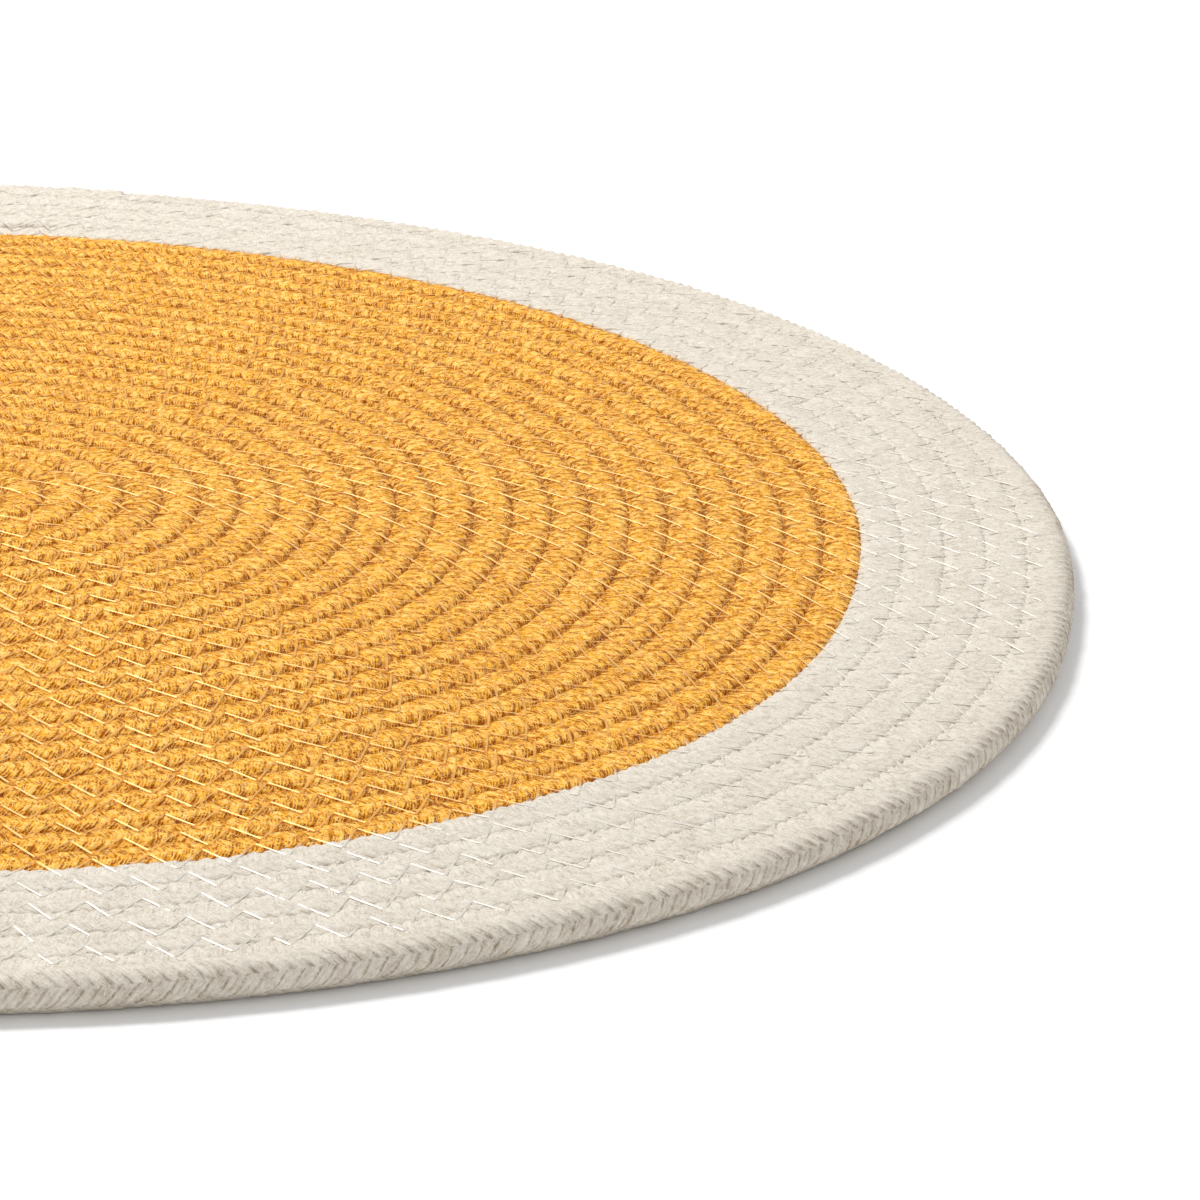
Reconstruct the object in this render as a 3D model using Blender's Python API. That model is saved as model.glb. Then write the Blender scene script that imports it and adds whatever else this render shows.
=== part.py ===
"""A round table mat made of two braided cotton ropes, coiled flat and sewn.

A mustard rope is wound out from the middle of the mat. A natural rope takes over beside its tail
and carries the same spiral on to the rim. The mat lies on z = 0 with its face up, and the middle of
its outline is the origin. Seen from above, the ropes wind outwards clockwise. Lengths are in metres
and angles in degrees, counted anticlockwise from +X as seen from above.
"""

import math

import bpy

COLLECTION_NAME = "coiled_rope_placemat"

# The ropes. Neighbouring turns touch on the real mat; here a thin gap keeps each rope one body.
ROPE_HEIGHT = 0.0060
TURN_GAP = 0.0003
CENTRE_PITCH = 0.00665  # mustard rope, from one turn to the next
BORDER_PITCH = 0.00705  # natural rope, which is a little fatter

# The spiral. A turn value counts turns along it: 0 just past the colour join, where the natural rope
# has its full width, less inwards and more outwards.
JOIN_ANGLE = 80.0
JOIN_RADIUS = 0.1569  # to the middle of the rope at turn 0

# Stations are the places along a rope where its section is set. All turns share their angles.
STATIONS_PER_TURN = 48
CENTRE_START = -1106  # which leaves a start with the tightest bend that the rope takes
COARSE_BANDS = ((0.020, 4), (0.070, 2))  # inside this radius, only every so many stations are kept

# At the join the mustard tail and the natural tip lie side by side for a few stations, each thinner
# the nearer it is to its end. The shares are of the full rope, station by station from the end.
TAIL_SHARES = {-2: 0.22, -3: 0.35, -4: 0.48, -5: 0.61, -6: 0.74}
TIP_SHARES = {-6: 0.20, -5: 0.33, -4: 0.46, -3: 0.59, -2: 0.72}
RIM_END_SHARES = {239: 0.30, 238: 0.44, 237: 0.58, 236: 0.72, 235: 0.86}
START_TIP = 0.80

# How far the mat is out of round: angle of each swell or hollow, its reach, and its rise at the rim
RIM_RADIUS = 0.190
OUT_OF_ROUND = (
    (44.0, 19.0, 0.0014),  # swells at the back right
    (-7.0, 13.0, -0.0016),  # flattened at the right
    (-42.0, 20.0, 0.0005),  # swells slightly at the front right
    (150.0, 24.0, 0.0006),
    (-135.0, 22.0, -0.0005),
)

# Rope sections, as shares of the width and of the height, with a flat above and below
CENTRE_SECTION = ((0.5, 0.0), (0.28, -0.5), (-0.28, -0.5), (-0.5, 0.0), (-0.28, 0.5), (0.28, 0.5))
BORDER_SECTION = (
    (0.5, 0.2),
    (0.5, -0.2),
    (0.27, -0.5),
    (-0.27, -0.5),
    (-0.5, -0.2),
    (-0.5, 0.2),
    (-0.27, 0.5),
    (0.27, 0.5),
)

MUSTARD = "#EFA240"
NATURAL = "#DFD8CC"


def linear(channel):
    """Linear light of one sRGB channel between 0 and 1."""
    if channel <= 0.04045:
        return channel / 12.92
    return ((channel + 0.055) / 1.055) ** 2.4


def cotton(name, hex_colour):
    """Matt cotton: a Principled material with high roughness and no metal."""
    material = bpy.data.materials.new(name)
    material.use_nodes = True
    shader = material.node_tree.nodes["Principled BSDF"]
    channels = [int(hex_colour[i : i + 2], 16) / 255 for i in (1, 3, 5)]
    shader.inputs["Base Color"].default_value = (*[linear(c) for c in channels], 1.0)
    shader.inputs["Roughness"].default_value = 0.92
    shader.inputs["Metallic"].default_value = 0.0
    return material


def turn_angle(turn):
    """Angle of a turn value, in radians."""
    return math.radians(JOIN_ANGLE - 360 * turn)


def even_radius(turn):
    """Radius of the rope's middle at a turn value, on an evenly wound mat."""
    if turn <= 0:
        return JOIN_RADIUS + turn * CENTRE_PITCH
    swelling = min(turn, 1.0)
    first = CENTRE_PITCH * swelling + (BORDER_PITCH - CENTRE_PITCH) * swelling**2 / 2
    return JOIN_RADIUS + first + BORDER_PITCH * (turn - swelling)


def out_of_round(angle):
    """How far the rim lies outside an even spiral at an angle in radians."""
    total = 0.0
    for middle, reach, rise in OUT_OF_ROUND:
        off = math.degrees(math.remainder(angle - math.radians(middle), math.tau))
        total += rise * math.exp(-((off / reach) ** 2))
    return total


def border_swell(turn):
    """Share of the natural rope's full width: it leaves the join as thin as the mustard rope."""
    width = CENTRE_PITCH + (BORDER_PITCH - CENTRE_PITCH) * min(max(turn, 0.0), 1.0) - TURN_GAP
    return width / (BORDER_PITCH - TURN_GAP)


def centre_rope():
    """Stations of the mustard rope from its start, as (turn, share, side of the thin tail)."""
    stations = []
    for station in range(CENTRE_START, max(TAIL_SHARES) + 1):
        turn = station / STATIONS_PER_TURN
        kept = [every for radius, every in COARSE_BANDS if even_radius(turn) < radius]
        if (station - CENTRE_START) % (kept[0] if kept else 1):
            continue
        share = START_TIP if station == CENTRE_START else TAIL_SHARES.get(station, 1.0)
        stations.append((turn, share, -1 if station in TAIL_SHARES else 0))
    return stations


def border_rope():
    """Stations of the natural rope from its tip, as (turn, share, side of a thin end)."""
    stations = []
    for station in range(min(TIP_SHARES), max(RIM_END_SHARES) + 1):
        turn = station / STATIONS_PER_TURN
        if station in TIP_SHARES:
            stations.append((turn, TIP_SHARES[station], 1))
        elif station in RIM_END_SHARES:
            stations.append((turn, RIM_END_SHARES[station], -1))
        else:
            stations.append((turn, border_swell(turn), 0))
    return stations


def rope_points(stations, width):
    """(x, y, z, share) along a rope. A thin end stays against the neighbour on its side."""
    points = []
    for turn, share, side in stations:
        angle = turn_angle(turn)
        radius = even_radius(turn)
        radius += out_of_round(angle) * radius / RIM_RADIUS
        radius += side * (1 - share) * width / 2
        x = radius * math.cos(angle)
        y = radius * math.sin(angle)
        points.append((x, y, share * ROPE_HEIGHT / 2, share))
    return points


def outline_middle(points, width):
    """Middle of the box round a rope's outer edge, seen from above."""
    edge = []
    for x, y, _, share in points:
        radius = math.hypot(x, y)
        stretch = (radius + share * width / 2) / radius
        edge.append((x * stretch, y * stretch))
    xs = [x for x, _ in edge]
    ys = [y for _, y in edge]
    return (min(xs) + max(xs)) / 2, (min(ys) + max(ys)) / 2


def section_guide(name, shape, width, collection):
    """A closed flat curve with the rope's section, which shapes a rope and is no piece itself."""
    curve = bpy.data.curves.new(name, "CURVE")
    curve.dimensions = "2D"
    spline = curve.splines.new("POLY")
    spline.points.add(len(shape) - 1)
    for point, (across, up) in zip(spline.points, shape):
        point.co = (across * width, up * ROPE_HEIGHT, 0.0, 1.0)
    spline.use_cyclic_u = True
    guide = bpy.data.objects.new(name, curve)
    guide.hide_render = True
    guide.display_type = "WIRE"
    collection.objects.link(guide)
    return guide


def lay_rope(name, points, middle, guide, material, collection):
    """One rope: its section carried along its points, with both ends closed."""
    curve = bpy.data.curves.new(name, "CURVE")
    curve.dimensions = "3D"
    curve.twist_mode = "Z_UP"
    curve.bevel_mode = "OBJECT"
    curve.bevel_object = guide
    curve.use_fill_caps = True
    spline = curve.splines.new("POLY")
    spline.points.add(len(points) - 1)
    for point, (x, y, z, share) in zip(spline.points, points):
        point.co = (x - middle[0], y - middle[1], z, 1.0)
        point.radius = share
    curve.materials.append(material)
    rope = bpy.data.objects.new(name, curve)
    collection.objects.link(rope)
    return rope


def new_collection(name):
    collection = bpy.data.collections.new(name)
    bpy.context.scene.collection.children.link(collection)
    return collection


def main():
    for item in list(bpy.data.objects):
        bpy.data.objects.remove(item, do_unlink=True)

    pieces = new_collection(COLLECTION_NAME)
    guides = new_collection("section_guides")
    centre_width = CENTRE_PITCH - TURN_GAP
    border_width = BORDER_PITCH - TURN_GAP
    centre_guide = section_guide("centre_section", CENTRE_SECTION, centre_width, guides)
    border_guide = section_guide("border_section", BORDER_SECTION, border_width, guides)

    centre = rope_points(centre_rope(), centre_width)
    border = rope_points(border_rope(), border_width)
    middle = outline_middle(border, border_width)
    mustard = cotton("mustard_cotton", MUSTARD)
    natural = cotton("natural_cotton", NATURAL)
    lay_rope("centre_coil", centre, middle, centre_guide, mustard, pieces)
    lay_rope("border_coil", border, middle, border_guide, natural, pieces)


main()
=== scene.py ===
# %% [markdown]
# # A coiled rope placemat
#
# The real mat is one long flat spiral. A mustard cotton rope is wound outwards from the middle, a
# natural cotton rope takes over for the last five turns, and a zigzag seam along every valley holds
# each turn to the next. This lesson lays the two ropes and the seams over the plain solids of the
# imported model, in metres, and dresses them in cotton.
#
# The frame comes first, because every piece is placed by it.

# %% Load the frame
import math

import bpy
import numpy
from mathutils import Matrix, Vector


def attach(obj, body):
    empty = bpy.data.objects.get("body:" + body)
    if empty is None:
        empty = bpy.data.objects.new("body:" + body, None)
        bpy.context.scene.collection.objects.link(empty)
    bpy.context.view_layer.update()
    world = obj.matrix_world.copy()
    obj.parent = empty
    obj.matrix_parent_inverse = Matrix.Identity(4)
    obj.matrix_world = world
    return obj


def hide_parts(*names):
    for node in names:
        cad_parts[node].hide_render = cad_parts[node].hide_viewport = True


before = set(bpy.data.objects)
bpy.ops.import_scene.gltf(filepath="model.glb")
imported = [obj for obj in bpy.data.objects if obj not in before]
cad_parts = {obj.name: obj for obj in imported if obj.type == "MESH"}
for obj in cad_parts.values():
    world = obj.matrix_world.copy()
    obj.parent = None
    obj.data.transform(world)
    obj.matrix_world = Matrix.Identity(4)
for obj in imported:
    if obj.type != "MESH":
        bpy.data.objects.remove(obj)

link = bpy.context.scene.collection.objects.link
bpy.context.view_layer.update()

# %% [markdown]
# ## The spiral
#
# A coiled mat is an Archimedean spiral: each turn adds one rope's width to the radius. Here a place
# on it is a turn value: 0 just past the place where the colours meet, negative inwards and positive
# outwards. The natural rope is a little fatter, so the step grows over its first turn. Hand
# winding leaves the rim slightly out of round, which a few smooth swells and hollows describe. The
# spiral could be drawn by hand as a curve, but a formula keeps every turn against the next one.

# %% Sizes of the spiral
ROPE_HEIGHT = 0.0060
MUSTARD_PITCH = 0.00665
NATURAL_PITCH = 0.00705
JOIN_ANGLE = 80.0  # degrees, anticlockwise from the right
JOIN_RADIUS = 0.1569
STATIONS = 48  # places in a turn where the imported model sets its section
MUSTARD_START = -1106 / STATIONS
MUSTARD_END = -2 / STATIONS
NATURAL_START = -6 / STATIONS
NATURAL_END = 5 - 1 / STATIONS
RIM_RADIUS = 0.190
OUT_OF_ROUND = (  # angle of the middle and reach in degrees, and rise at the rim
    (44.0, 19.0, 0.0014),
    (-7.0, 13.0, -0.0016),
    (-42.0, 20.0, 0.0005),
    (150.0, 24.0, 0.0006),
    (-135.0, 22.0, -0.0005),
)


def pitch_at(turn):
    """Width of the rope's lane, in metres: the natural rope swells over its first turn."""
    return MUSTARD_PITCH + (NATURAL_PITCH - MUSTARD_PITCH) * min(max(turn, 0.0), 1.0)


def even_radius(turn):
    """Radius of the rope's middle on an evenly wound mat."""
    if turn <= 0:
        return JOIN_RADIUS + turn * MUSTARD_PITCH
    swelling = min(turn, 1.0)
    first = MUSTARD_PITCH * swelling + (NATURAL_PITCH - MUSTARD_PITCH) * swelling**2 / 2
    return JOIN_RADIUS + first + NATURAL_PITCH * (turn - swelling)


def spiral_point(turn, radius):
    """Where a radius at a turn value lies, out of round, about the spiral's own centre."""
    angle = math.radians(JOIN_ANGLE - 360 * turn)
    swell = 0.0
    for middle, reach, rise in OUT_OF_ROUND:
        off = math.degrees(math.remainder(angle - math.radians(middle), math.tau))
        swell += rise * math.exp(-((off / reach) ** 2))
    radius *= 1 + swell / RIM_RADIUS
    return Vector((radius * math.cos(angle), radius * math.sin(angle), 0.0))


print("turns", round(NATURAL_END - MUSTARD_START, 2), "rim", round(even_radius(NATURAL_END), 4))

# %% [markdown]
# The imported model's origin is the middle of its outline, which isn't quite the spiral's centre,
# because a spiral's rim steps out where it ends. The rim's own box gives the shift. Both ropes thin
# out at their ends, so each has a short list of turn values and shares of the full rope.

# %% The spiral's centre
MUSTARD_SHARES = (
    (MUSTARD_START, 0.60),
    (MUSTARD_START + 0.2, 1.0),
    (-7 / STATIONS, 1.0),
    (-6 / STATIONS, 0.74),
    (MUSTARD_END, 0.22),
)
NATURAL_SHARES = (
    (NATURAL_START, 0.20),
    (-2 / STATIONS, 0.72),
    (-1 / STATIONS, 1.0),
    (234 / STATIONS, 1.0),
    (NATURAL_END, 0.30),
)
HALF_GAP = 0.00015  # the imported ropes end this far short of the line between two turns


def share_at(turn, shares):
    """How much of the full rope is there: its two ends thin out."""
    return float(numpy.interp(turn, [at for at, _ in shares], [share for _, share in shares]))


rim = []
for step in range(STATIONS + 1):
    turn = NATURAL_END - 1 + step / STATIONS
    thinned = (1 - share_at(turn, NATURAL_SHARES)) * NATURAL_PITCH
    rim.append(spiral_point(turn, even_radius(turn) + NATURAL_PITCH / 2 - thinned - HALF_GAP))
xs = [point.x for point in rim]
ys = [point.y for point in rim]
CENTRE = -Vector((min(xs) + max(xs), min(ys) + max(ys), 0.0)) / 2
print("spiral centre", [round(1000 * c, 2) for c in CENTRE], "mm from the middle of the outline")

# %% [markdown]
# ## Stitches along the valleys
#
# A zigzag machine sews each new turn to the last. The needle goes down once in the inner rope and
# once in the outer rope in every 8 mm. The mat turns on under it while it swings, so the outward leg
# is longer along the seam than the inward one, 5.2 mm to 2.8 mm. The seam is a spiral too, half a
# pitch outside the rope's own. Its length is added up here once, because the ropes are pinched where
# the needle went down and the thread has to meet those pinches.

# %% The valley between two turns
ZIGZAG = 0.0080  # one zig and one zag
NEEDLE_REACH = 0.0027  # from the valley to each needle hole
LEAN = 0.0012  # how far each outer hole lies past the middle between two inner ones
LONGEST_STEP = 0.003
WIDEST_BEND = 5 / 360


def valley_point(turn):
    """The line between the rope at a turn value and the rope one turn further out."""
    inner = even_radius(turn) + pitch_at(turn) / 2
    outer = even_radius(turn + 1) - pitch_at(turn + 1) / 2
    return spiral_point(turn, (inner + outer) / 2) + CENTRE


def turn_values(first, last):
    """Turn values from first to last, no more than 3 mm or 5 degrees apart."""
    values = [first]
    while values[-1] < last:
        radius = max(even_radius(values[-1]), LONGEST_STEP)
        values.append(values[-1] + min(LONGEST_STEP / (math.tau * radius), WIDEST_BEND))
    values[-1] = last
    return values


VALLEY_TURNS = turn_values(MUSTARD_START, NATURAL_END - 1)
VALLEY = [valley_point(turn) for turn in VALLEY_TURNS]
VALLEY_STEPS = [(b - a).length for a, b in zip(VALLEY, VALLEY[1:])]
VALLEY_SUM = numpy.concatenate(([0.0], numpy.cumsum(VALLEY_STEPS)))


def zigzags_before(turn, at_ends):
    """How many zigzags the seam has made at a turn value, or at_ends where there is no valley."""
    if not MUSTARD_START <= turn <= NATURAL_END - 1:
        return at_ends
    return float(numpy.interp(turn, VALLEY_TURNS, VALLEY_SUM)) / ZIGZAG


print("seam", round(VALLEY_SUM[-1], 2), "m with", int(VALLEY_SUM[-1] / ZIGZAG * 2), "needle holes")

# %% [markdown]
# ## One way to add a node
#
# Every tree in this lesson, for shapes and for finishes, is built with one helper. It makes a node,
# sets its options, and fills each socket with a value, or with the node or socket that feeds it. Two
# more helpers start a tree with named inputs, and grow a plain mesh from a tree and a guide.

# %% The node helper
MATH = "ShaderNodeMath"
VECTOR_MATH = "ShaderNodeVectorMath"


def add(tree, kind, sockets=None, **settings):
    """Add one node. Sockets map a name or number to a value, a socket, or a node's first output."""
    node = tree.nodes.new(kind)
    for setting, value in settings.items():
        setattr(node, setting, value)
    for key, source in (sockets or {}).items():
        if isinstance(source, bpy.types.Node):
            source = source.outputs[0]
        if isinstance(source, bpy.types.NodeSocket):
            tree.links.new(source, node.inputs[key])
        else:
            node.inputs[key].default_value = source
    return node


def new_tree(name, **inputs):
    """A Geometry Nodes tree with named inputs by type. Returns it, its inputs and identifiers."""
    tree = bpy.data.node_groups.new(name, "GeometryNodeTree")
    tree.interface.new_socket(name="Path", in_out="INPUT", socket_type="NodeSocketGeometry")
    tree.interface.new_socket(name="Geometry", in_out="OUTPUT", socket_type="NodeSocketGeometry")
    keys = {}
    for kind, labels in inputs.items():
        for label in labels:
            socket = tree.interface.new_socket(label, in_out="INPUT", socket_type="NodeSocket" + kind)
            keys[label] = socket.identifier
    return tree, tree.nodes.new("NodeGroupInput").outputs, keys


def grow(name, guide, tree, keys, choices):
    """Run a tree on a guide mesh and keep the result as a plain mesh object at the origin."""
    carrier = bpy.data.objects.new(name + "_guide", guide)
    link(carrier)
    modifier = carrier.modifiers.new("grow", "NODES")
    modifier.node_group = tree
    for label, value in choices.items():
        modifier[keys[label]] = value
    graph = bpy.context.evaluated_depsgraph_get()
    mesh = bpy.data.meshes.new_from_object(
        carrier.evaluated_get(graph), preserve_all_data_layers=True, depsgraph=graph
    )
    carrier.modifiers.clear()
    bpy.data.objects.remove(carrier)
    piece = bpy.data.objects.new(name, mesh)
    link(piece)
    triangles = sum(len(face.vertices) - 2 for face in mesh.polygons)
    print(name, "has", triangles, "triangles")
    return piece


print("helpers", add.__name__, new_tree.__name__, grow.__name__)

# %% [markdown]
# ## Cotton
#
# The ropes are braided from soft-spun cotton, dyed mustard or left its own greyish cream. Cotton is
# dull: its fibres scatter light, and loose ends stand up from the yarn as a pale fuzz. So roughness
# is high, and sheen lightens the edges of each turn. The colour runs from deep brown in the grooves,
# gaps and valleys and at the needle holes, a painted shade where light has bounced between dyed
# fibres, to pale on the fuzzy crests, which is partly painted light. Each strand of the braid is a
# few yarns laid side by side, which show as lines about 0.6 mm apart. A picture of cotton would
# repeat and stretch on a spiral, so the pattern is worked out from the rope itself.
#
# The rope's mesh carries four numbers for that: strand counts strands along the rope, around counts
# the six ribs of the braid round it, flank grows from 0 on the crest towards 1 in the valley, and
# pinch rises to 1 at a needle hole.

# %% Colours


def linear(hex_colour):
    """A colour for a shader from an sRGB hex value."""
    channels = [int(hex_colour[i : i + 2], 16) / 255 for i in (1, 3, 5)]
    light = [c / 12.92 if c <= 0.04045 else ((c + 0.055) / 1.055) ** 2.4 for c in channels]
    return (*light, 1.0)


def new_material(name, finish):
    """A material with the constants of its finish. Returns it, its node tree and its shader."""
    material = bpy.data.materials.new(name)
    material.use_nodes = True
    shader = material.node_tree.nodes["Principled BSDF"]
    for socket, value in finish.items():
        shader.inputs[socket].default_value = value
    return material, material.node_tree, shader


print("mustard in linear light", [round(c, 3) for c in linear("#FBB434")])

# %% Cotton
YARNS_A_STRAND = 4


def braided_cotton(name, colours, gap_shade, yarn_depth, gaps_on_top, valley_shade, fuzz_strength, bump):
    """Soft-spun cotton braid, from the colours of its painted shade in the grooves, its body and its
    crests, which are partly painted light.
    """
    finish = {"Roughness": 0.95, "Specular IOR Level": 0.15}
    finish.update({"Sheen Weight": 0.20, "Sheen Roughness": 0.6, "Sheen Tint": linear(colours[2])})
    material, tree, shader = new_material(name, finish)
    place = add(tree, "ShaderNodeTexCoord").outputs["Object"]
    labels = ("strand", "around", "flank", "pinch")
    told = [add(tree, "ShaderNodeAttribute", attribute_name=label) for label in labels]
    strand, around, flank, pinch = [node.outputs["Fac"] for node in told]

    # Every other rib is half a strand further on, so that strands meet like the grains in an ear
    parity = add(tree, MATH, {0: around}, operation="FLOOR")
    parity = add(tree, MATH, {0: parity, 1: 1.0}, operation="PINGPONG")
    strand = add(tree, MATH, {0: parity, 1: 0.5, 2: strand}, operation="MULTIPLY_ADD")

    # Streaks that follow the strands, 0.3 mm wide and 1.5 mm long, and a grain of 0.4 mm over them
    rope_place = add(tree, "ShaderNodeCombineXYZ", {0: strand, 1: around, 2: flank})
    rope_place = add(tree, VECTOR_MATH, {0: rope_place, 1: (8.0, 2.2, 0.0)}, operation="MULTIPLY")
    streak = add(tree, "ShaderNodeTexNoise", {"Vector": rope_place, "Scale": 1.0, "Detail": 2.0})
    fuzz = add(tree, "ShaderNodeTexNoise", {"Vector": place, "Scale": 2300.0, "Detail": 3.0})
    # Tufts and uneven dye: patches of about 1.5 mm and 6 mm
    tuft = add(tree, "ShaderNodeTexNoise", {"Vector": place, "Scale": 700.0, "Detail": 1.0})
    patch = add(tree, "ShaderNodeTexNoise", {"Vector": place, "Scale": 160.0, "Detail": 2.0})

    # Yarn lines wander a little with the fibres
    wander = add(tree, MATH, {0: patch, 1: 0.7, 2: strand}, operation="MULTIPLY_ADD")
    jitter = add(tree, MATH, {0: fuzz, 1: 0.14, 2: wander}, operation="MULTIPLY_ADD")
    yarns = add(tree, MATH, {0: jitter, 1: YARNS_A_STRAND}, operation="MULTIPLY")
    yarn = add(tree, MATH, {0: yarns, 1: 0.5}, operation="PINGPONG")

    # Grooves between strands, and where a rib's strands dive under the next rib
    ridge = add(tree, MATH, {0: jitter, 1: 0.5}, operation="PINGPONG")
    rib = add(tree, MATH, {0: around, 1: 0.5}, operation="PINGPONG")

    # Gaps between yarns are narrow, and their darkness is painted shade. Fuzz breaks them into dashes and
    # hides them on the crest
    gap = add(tree, "ShaderNodeMapRange", {0: yarn, 1: 0.04, 2: 0.34, 3: yarn_depth, 4: 0.0})
    broken = add(tree, "ShaderNodeMapRange", {0: tuft, 1: 0.60, 2: 0.44, 3: 0.0, 4: 1.0})
    gap = add(tree, MATH, {0: gap, 1: broken}, operation="MULTIPLY")
    # Gaps between strands are wider and whole, and darkened with painted shade as well
    deep = add(tree, "ShaderNodeMapRange", {0: ridge, 1: 0.03, 2: 0.17, 3: 1.0, 4: 0.0})
    gap = add(tree, MATH, {0: deep, 1: gap}, operation="MAXIMUM")
    side = add(tree, "ShaderNodeMapRange", {0: flank, 1: 0.30, 2: 0.85, 3: gaps_on_top, 4: 1.0})
    gap = add(tree, MATH, {0: gap, 1: side}, operation="MULTIPLY")

    # Height picks the colour: 0 deep in the braid, 1 on a fuzzy crest. Its lows are painted shade, first
    # at the borders between ribs, where the strands dive under
    height = add(tree, MATH, {0: rib, 1: 0.16, 2: 0.62}, operation="MULTIPLY_ADD")
    # Painted shade: the flanks darken towards the valley, by valley_shade
    painted_valley_shade = add(tree, "ShaderNodeMapRange", {0: flank, 1: 0.40, 2: 0.9, 3: 0.0, 4: -valley_shade})
    height = add(tree, MATH, {0: height, 1: painted_valley_shade}, operation="ADD")
    # The gaps are darkened here with painted shade
    height = add(tree, MATH, {0: gap, 1: -gap_shade, 2: height}, operation="MULTIPLY_ADD")
    # Painted shade in the dimple of each needle hole
    needle_hole_shade = add(tree, "ShaderNodeMapRange", {0: pinch, 1: 0.60, 2: 1.0, 3: 0.0, 4: 0.6 * gap_shade})
    height = add(tree, MATH, {0: height, 1: needle_hole_shade}, operation="SUBTRACT")
    for grain, weight in ((streak, 1.0), (fuzz, 0.8), (tuft, 0.6), (patch, 0.4)):
        speck = add(tree, MATH, {0: grain, 1: 0.5}, operation="SUBTRACT")
        weight *= fuzz_strength
        height = add(tree, MATH, {0: speck, 1: weight, 2: height}, operation="MULTIPLY_ADD")
    ramp = add(tree, "ShaderNodeValToRGB", {"Fac": height})
    stops = ramp.color_ramp.elements
    stops[0].position = 0.0
    stops[0].color = linear(colours[0])
    stops[1].position = 1.0
    stops[1].color = linear(colours[2])
    stops.new(0.55).color = linear(colours[1])
    tree.links.new(ramp.outputs["Color"], shader.inputs["Base Color"])

    # Relief of yarns and fibres, up to 0.3 mm
    relief = add(tree, MATH, {0: gap, 1: -0.8, 2: ridge}, operation="MULTIPLY_ADD")
    for grain, weight in ((fuzz, 1.0), (streak, 1.2), (tuft, 1.0)):
        relief = add(tree, MATH, {0: grain, 1: weight, 2: relief}, operation="MULTIPLY_ADD")
    rough = add(tree, "ShaderNodeBump", {"Height": relief, "Strength": bump, "Distance": 0.00030})
    tree.links.new(rough.outputs["Normal"], shader.inputs["Normal"])
    return material


# Groove, body and crest colours: the groove colour is painted shade, the crest colour partly painted
# light
MUSTARD = ("#A45004", "#FBB434", "#FFD67C")
NATURAL = ("#98866E", "#CEC5B7", "#E4DDD1")
# The mustard yarn is loose and shaggy and gets deep painted shade in its gaps and valleys; the natural
# yarn is finer and lies closer, with lighter painted shade in its gaps and none in its valleys
mustard_cotton = braided_cotton(
    "mustard_cotton_braid",
    MUSTARD,
    gap_shade=0.68,
    yarn_depth=0.9,
    gaps_on_top=0.65,
    valley_shade=0.16,
    fuzz_strength=1.7,
    bump=0.9,
)
natural_cotton = braided_cotton(
    "natural_cotton_braid",
    NATURAL,
    gap_shade=0.40,
    yarn_depth=0.3,
    gaps_on_top=0.10,
    valley_shade=0.0,
    fuzz_strength=0.95,
    bump=0.45,
)
print("cottons", mustard_cotton.name, natural_cotton.name)

# %% [markdown]
# ## Thread
#
# The seams are sewn with clear nylon thread, pressed to a ribbon about 0.4 mm wide. It is smooth, so
# a leg that lies square to the light shines like a bright needle, and a leg that doesn't takes the
# colour of the rope that shows through it. Real refraction in a thread so thin only brings noise, so
# the thread is half see-through instead, in the colour of its rope. Its mesh carries a number, over,
# that says which rope is under it, 0 for mustard and 1 for natural, and a direction, heading, that
# turns the gloss.

# %% Nylon thread
# The gloss runs across the thread, as on a bundle of drawn filaments. Nylon's own IOR is 1.53; it is
# raised here so that a line one pixel wide still catches the light
finish = {
    "Anisotropic": 0.85,
    "Anisotropic Rotation": 0.25,
    "IOR": 2.9,
    "Specular IOR Level": 1.0,
    "Roughness": 0.48,
    "Alpha": 0.55,
}
nylon, tree, shader = new_material("clear_nylon_thread", finish)
# A little cloudier and clearer along its length, every few millimetres
along = add(tree, "ShaderNodeAttribute", attribute_name="along").outputs["Fac"]
over = add(tree, "ShaderNodeAttribute", attribute_name="over").outputs["Fac"]
cloudy = add(tree, "ShaderNodeTexNoise", {"W": along, "Scale": 0.8, "Detail": 1.0}, noise_dimensions="1D")
seen = []
for dark, light in (("#F6B048", "#FFC660"), ("#EAE5DC", "#F7F3EC")):
    ramp = add(tree, "ShaderNodeValToRGB", {"Fac": cloudy})
    for stop, position, colour in zip(ramp.color_ramp.elements, (0.35, 0.65), (dark, light)):
        stop.position = position
        stop.color = linear(colour)
    seen.append(ramp)
seen = add(tree, "ShaderNodeMix", {0: over, 6: seen[0], 7: seen[1]}, data_type="RGBA")
tree.links.new(seen.outputs[2], shader.inputs["Base Color"])
# Light that the cotton throws back up through the thread warms its gloss over the mustard rope
gloss = {0: over, 6: linear("#FFEDB4"), 7: linear("#FFFBF2")}
gloss = add(tree, "ShaderNodeMix", gloss, data_type="RGBA")
tree.links.new(gloss.outputs[2], shader.inputs["Specular Tint"])
heading = add(tree, "ShaderNodeAttribute", attribute_name="heading").outputs["Vector"]
tree.links.new(heading, shader.inputs["Tangent"])
print("thread", nylon.name)

# %% [markdown]
# ## The rope's section
#
# A braid of this kind has six ribs round it. In one rib all strands slant forwards and in the next
# they slant back, which gives the herringbone on the rim. One border between ribs runs along the top,
# one along the bottom, and two along each side. The section is a soft square, because the turns press
# on each other and the presser foot flattens them, and it is rounder below. Each corner of it carries
# its share across and up, its place around in ribs, how far the slant has carried it along the rope,
# and how high the strands stand there. A bevel profile could hold the shape but not these numbers, so
# a closed line of edges holds both for the tree.

# %% The section
RIBS = 6
UNDER_SQUARE = 2.2


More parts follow.
